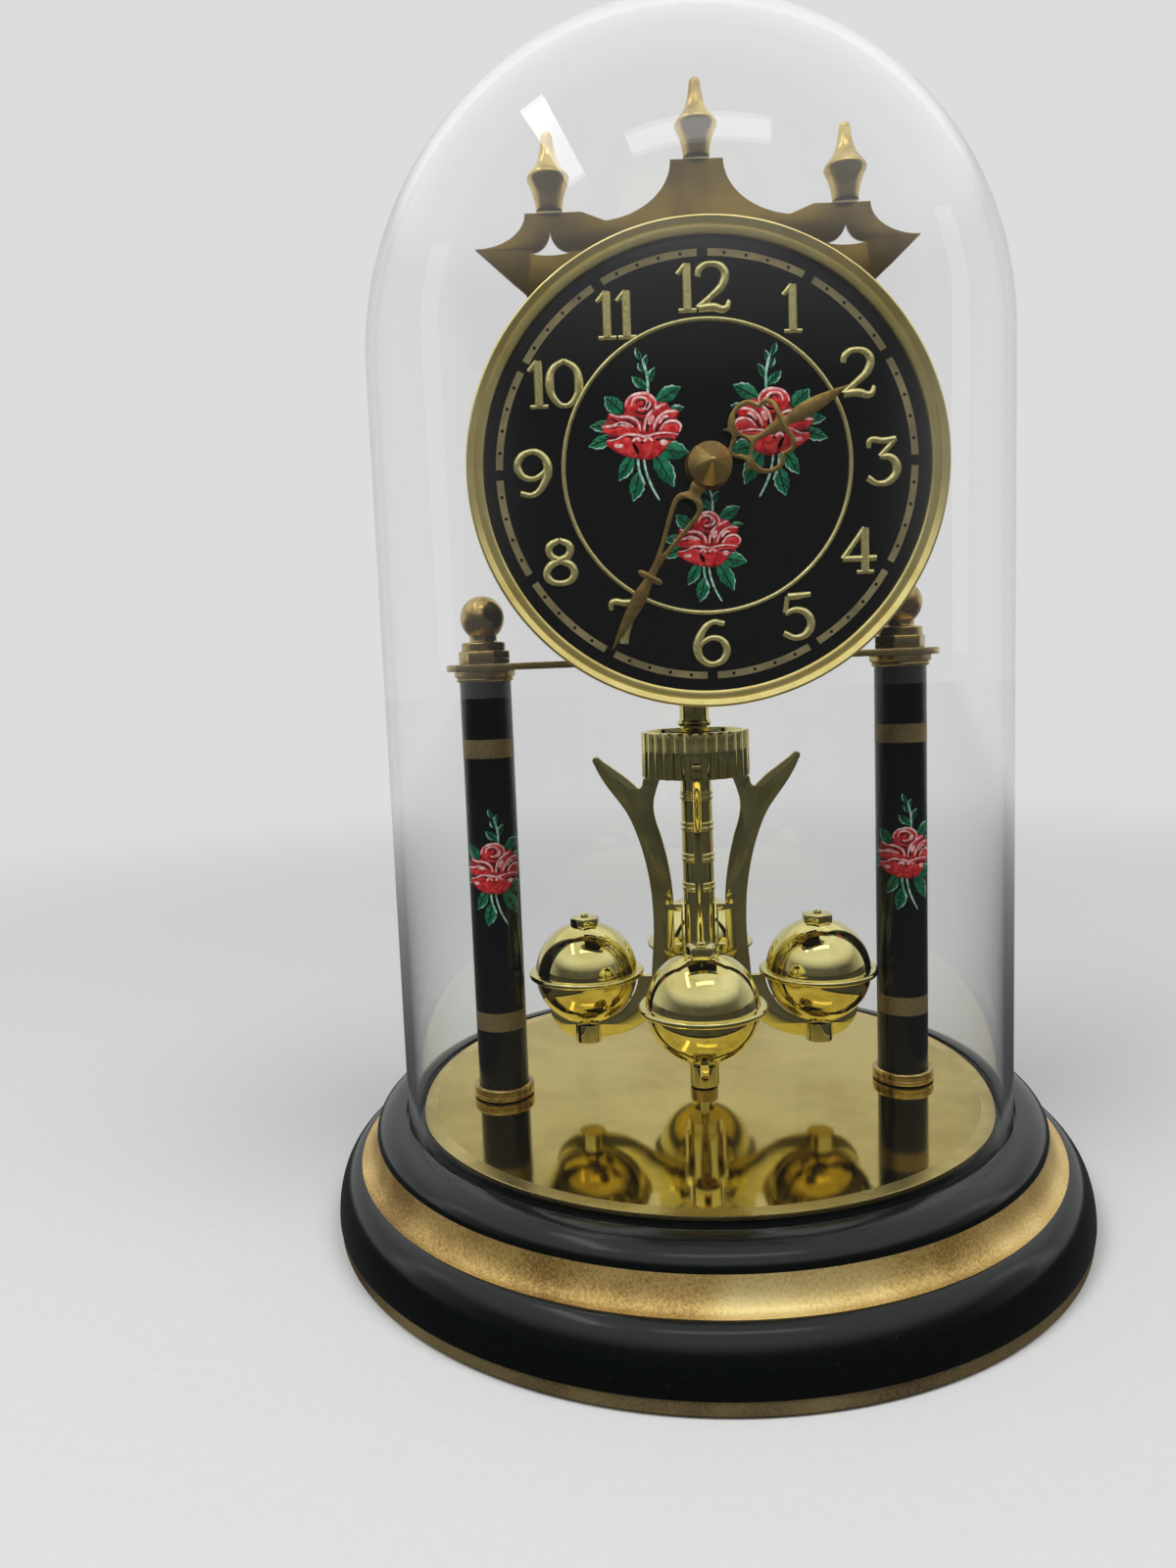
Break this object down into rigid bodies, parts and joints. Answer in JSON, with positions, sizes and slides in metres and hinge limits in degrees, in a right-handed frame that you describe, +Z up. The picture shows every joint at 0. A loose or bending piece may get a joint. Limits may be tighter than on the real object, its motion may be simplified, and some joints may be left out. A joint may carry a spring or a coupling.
{
  "type": "anniversary clock",
  "caption": "Round-based mantel clock with two columns, a dial with a crown, a turning ball pendulum and a clear lift-off dome.",
  "frame": {"origin": "centre of the round base on the surface it stands on", "axes": "+Z up, the dial faces -Y, +X to the right as seen from the front"},
  "size_m": [0.1604, 0.1604, 0.2402],
  "materials": {
    "black_lacquer": "gloss black with a bronze gilt cove",
    "zinc_steel": "zinc plated",
    "cast_ballast": "plain",
    "black_fibre": "matt fibreboard",
    "polished_brass": "polished and lacquered",
    "aged_brass": "aged, satin",
    "bright_gilt": "vacuum-plated mirror gold",
    "bezel_brass": "bright polished",
    "dial_black": "black enamel with gilt relief",
    "hand_gold": "matt gold",
    "brushed_brass": "brushed, olive brown",
    "clear_dome": "clear",
    "black_plastic": "fine texture",
    "grey_plastic": "plain",
    "battery_jacket": "printed jacket, bare",
    "copper_winding": "enamelled wire"
  },
  "bodies": {
    "clock": {"base_shell": "black_lacquer", "ballast_plate": "cast_ballast", "bottom_cover": "black_fibre", "deck_plate": "polished_brass", "guide_cup": "polished_brass", "strap": "aged_brass", "movement_case": "black_plastic", "movement_back": "black_plastic", "battery": "battery_jacket", "left_battery_contact": "zinc_steel", "right_battery_contact": "zinc_steel", "drive_coil": "copper_winding", "motor_coil": "copper_winding", "dial_plate": "dial_black", "bezel": "bezel_brass", "chapter_ring": "bezel_brass", "dial_spacer": "grey_plastic", "dial_nut": "aged_brass", "crown_plate": "brushed_brass", "centre_crown_finial": "brushed_brass", "left_crown_finial": "brushed_brass", "right_crown_finial": "brushed_brass", "left_tie_bolt": "zinc_steel", "left_case_screw": "zinc_steel", "left_column_tube": "black_lacquer", "left_bottom_collar": "aged_brass", "left_top_collar": "aged_brass", "left_ball_finial": "aged_brass", "left_hex_nut": "aged_brass", "right_tie_bolt": "zinc_steel", "right_case_screw": "zinc_steel", "right_column_tube": "black_lacquer", "right_bottom_collar": "aged_brass", "right_top_collar": "aged_brass", "right_ball_finial": "aged_brass", "right_hex_nut": "aged_brass"},
    "dome": {"glass_dome": "clear_dome"},
    "pendulum": {"hanger_shaft": "bright_gilt", "drive_magnet": "zinc_steel", "pendulum_cup": "bright_gilt", "pendulum_tube": "bright_gilt", "pendulum_hub": "bright_gilt", "front_arm": "bright_gilt", "front_ball": "bright_gilt", "right_arm": "bright_gilt", "right_ball": "bright_gilt", "back_arm": "bright_gilt", "back_ball": "bright_gilt", "left_arm": "bright_gilt", "left_ball": "bright_gilt"},
    "minute_work": {"minute_hand": "hand_gold", "hand_nut": "aged_brass", "centre_arbor": "polished_brass"},
    "hour_work": {"hour_hand": "hand_gold", "hour_wheel": "polished_brass"},
    "set_work": {"set_stem": "polished_brass", "set_knob": "black_plastic"},
    "third_wheel_body": {"third_wheel": "polished_brass"},
    "rotor_body": {"rotor": "zinc_steel"},
    "battery_cover_body": {"battery_cover": "black_plastic"}
  },
  "joints": [
    {"name": "dome_lift", "type": "slide", "parent": "clock", "child": "dome", "axis": [0, 0, 1], "range_m": [0, 0.225]},
    {"name": "pendulum_swing", "type": "hinge", "parent": "clock", "child": "pendulum", "pos_m": [0, -0.004, 0], "axis": [0, 0, 1], "range_deg": [-180, 180]},
    {"name": "minute_hand_turn", "type": "hinge", "parent": "clock", "child": "minute_work", "pos_m": [0, -0.0385, 0.1495], "axis": [0, 1, 0], "continuous": true},
    {"name": "hour_hand_turn", "type": "hinge", "parent": "clock", "child": "hour_work", "pos_m": [0, -0.0385, 0.1495], "axis": [0, 1, 0], "continuous": true},
    {"name": "set_knob_turn", "type": "hinge", "parent": "clock", "child": "set_work", "pos_m": [0, -0.0385, 0.1406], "axis": [0, 1, 0], "continuous": true},
    {"name": "third_wheel_turn", "type": "hinge", "parent": "clock", "child": "third_wheel_body", "pos_m": [0.00598, -0.0385, 0.15662], "axis": [0, 1, 0], "continuous": true},
    {"name": "rotor_turn", "type": "hinge", "parent": "clock", "child": "rotor_body", "pos_m": [0.01378, -0.0385, 0.15379], "axis": [0, 1, 0], "continuous": true},
    {"name": "battery_cover_slide", "type": "slide", "parent": "clock", "child": "battery_cover_body", "axis": [0, 1, 0], "range_m": [0, 0.015]}
  ],
  "couplings": [
    {"joint": "hour_hand_turn", "follows": "minute_hand_turn", "ratio": 0.083333},
    {"joint": "set_knob_turn", "follows": "minute_hand_turn", "ratio": -0.43333},
    {"joint": "third_wheel_turn", "follows": "minute_hand_turn", "ratio": -3.5},
    {"joint": "rotor_turn", "follows": "minute_hand_turn", "ratio": 14}
  ]
}
